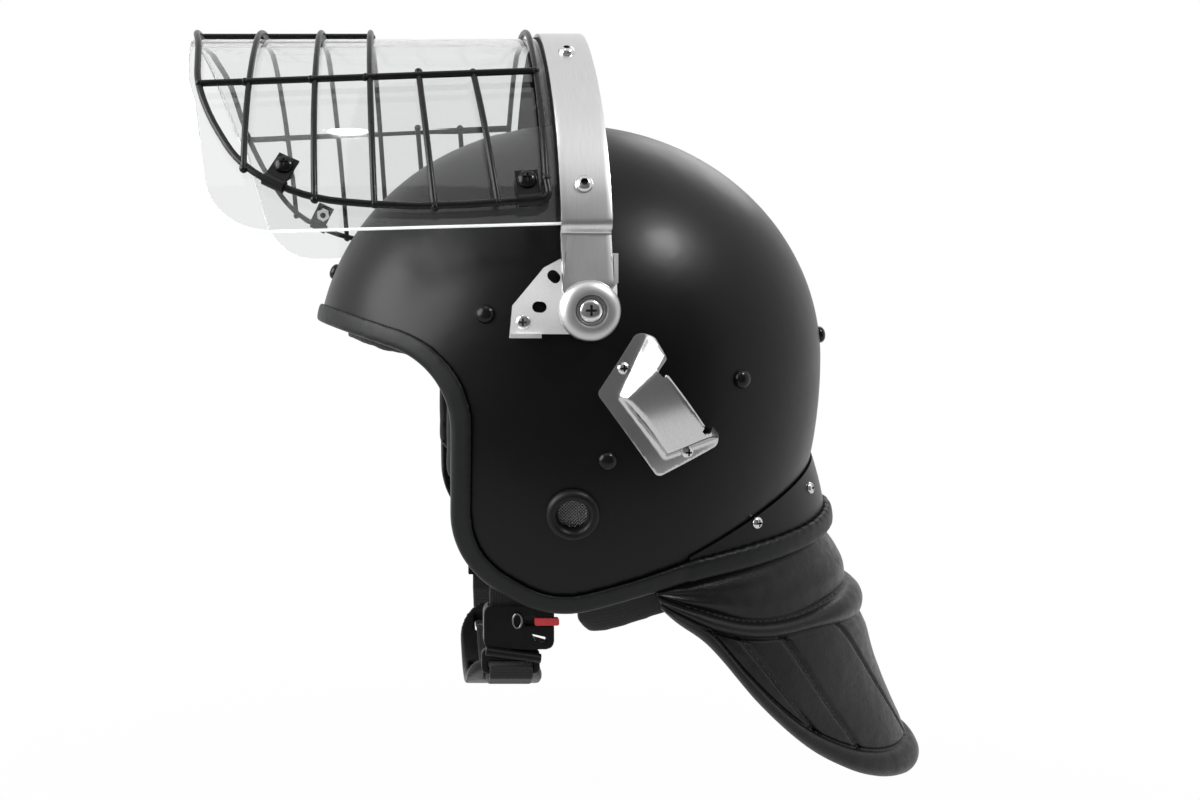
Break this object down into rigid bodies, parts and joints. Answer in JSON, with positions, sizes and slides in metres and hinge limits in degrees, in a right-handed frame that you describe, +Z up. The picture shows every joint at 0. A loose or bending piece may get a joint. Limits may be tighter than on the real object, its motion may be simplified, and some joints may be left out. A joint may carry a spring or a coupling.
{
  "type": "riot helmet",
  "caption": "Police riot helmet with a swinging clear visor behind a wire grille, strap hooks, a chin strap and a leather neck guard.",
  "frame": {"origin": "midpoint of the visor's pivot axis, inside the shell between the wearer's ears", "axes": "+X to the wearer's left, -Y towards the face, +Z up; the visor is modelled raised"},
  "size_m": [0.2612, 0.418, 0.422],
  "materials": {
    "shell_black": "satin black moulded shell",
    "trim_rubber": "charcoal rubber edging",
    "black_rivet": "black lacquered domed rivets and screws",
    "nickel": "bright nickel-plated screws",
    "grommet_rubber": "black rubber grommet",
    "mesh": "fine woven metal mesh",
    "foam": "black expanded foam",
    "pad_cloth": "black padded cloth",
    "quadrant_steel": "polished sheet steel",
    "bush_metal": "turned steel",
    "disc_aluminium": "satin turned aluminium",
    "hook_steel": "polished pressed steel",
    "band_aluminium": "brushed aluminium band",
    "gasket_rubber": "black rubber",
    "shield_clear": "clear polycarbonate",
    "grille_black": "black coated wire",
    "washer_plastic": "dark nylon",
    "leather": "black grained leather",
    "webbing": "black woven webbing",
    "buckle_plastic": "black moulded plastic",
    "red_plastic": "red moulded plastic",
    "strap_metal": "black coated steel"
  },
  "bodies": {
    "helmet": {"outer_shell": "shell_black", "rear_flare": "shell_black", "edge_trim": "trim_rubber", "shell_rivets": "black_rivet", "flare_screws": "nickel", "ear_grommets": "grommet_rubber", "ear_meshes": "mesh", "impact_liner": "foam", "crown_pad": "pad_cloth", "brow_pad": "pad_cloth", "cheek_pad_left": "pad_cloth", "cheek_pad_right": "pad_cloth", "nape_roll": "pad_cloth", "quadrant_plate_left": "quadrant_steel", "quadrant_plate_right": "quadrant_steel", "quadrant_screws": "nickel", "quadrant_spacers": "bush_metal", "pivot_bushes": "bush_metal", "pivot_discs": "disc_aluminium", "pivot_screws": "nickel", "strap_hook_left": "hook_steel", "strap_hook_right": "hook_steel", "hook_screws": "nickel", "strap_anchors": "strap_metal", "neck_collar": "leather", "neck_welt": "leather", "neck_flap": "leather"},
    "visor": {"visor_arch": "band_aluminium", "arch_gasket": "gasket_rubber", "visor_shield": "shield_clear", "brow_seal": "gasket_rubber", "arch_bolts": "nickel", "arch_nuts": "nickel", "wire_grille": "grille_black", "grille_clips": "grille_black", "clip_screws": "black_rivet", "clip_nuts": "black_rivet", "friction_washers": "washer_plastic", "detent_pins": "bush_metal"},
    "chin_strap": {"strap_hangers": "strap_metal", "chin_strap_left": "webbing", "chin_strap_long": "webbing", "chin_cup": "leather", "buckle_socket": "buckle_plastic", "buckle_tongue": "buckle_plastic", "strap_slider": "buckle_plastic"},
    "release_button": {"release_button": "red_plastic"}
  },
  "joints": [
    {"name": "visor_swing", "type": "hinge", "parent": "helmet", "child": "visor", "pos_m": [0, 0, 0], "axis": [1, 0, 0], "range_deg": [0, 85]},
    {"name": "chin_swing", "type": "hinge", "parent": "helmet", "child": "chin_strap", "pos_m": [0, -0.032, -0.106], "axis": [1, 0, 0], "range_deg": [-12, 6]},
    {"name": "button_press", "type": "slide", "parent": "chin_strap", "child": "release_button", "axis": [0, -1, 0], "range_m": [0, 0.0024], "stiffness_N_per_m": 400}
  ]
}
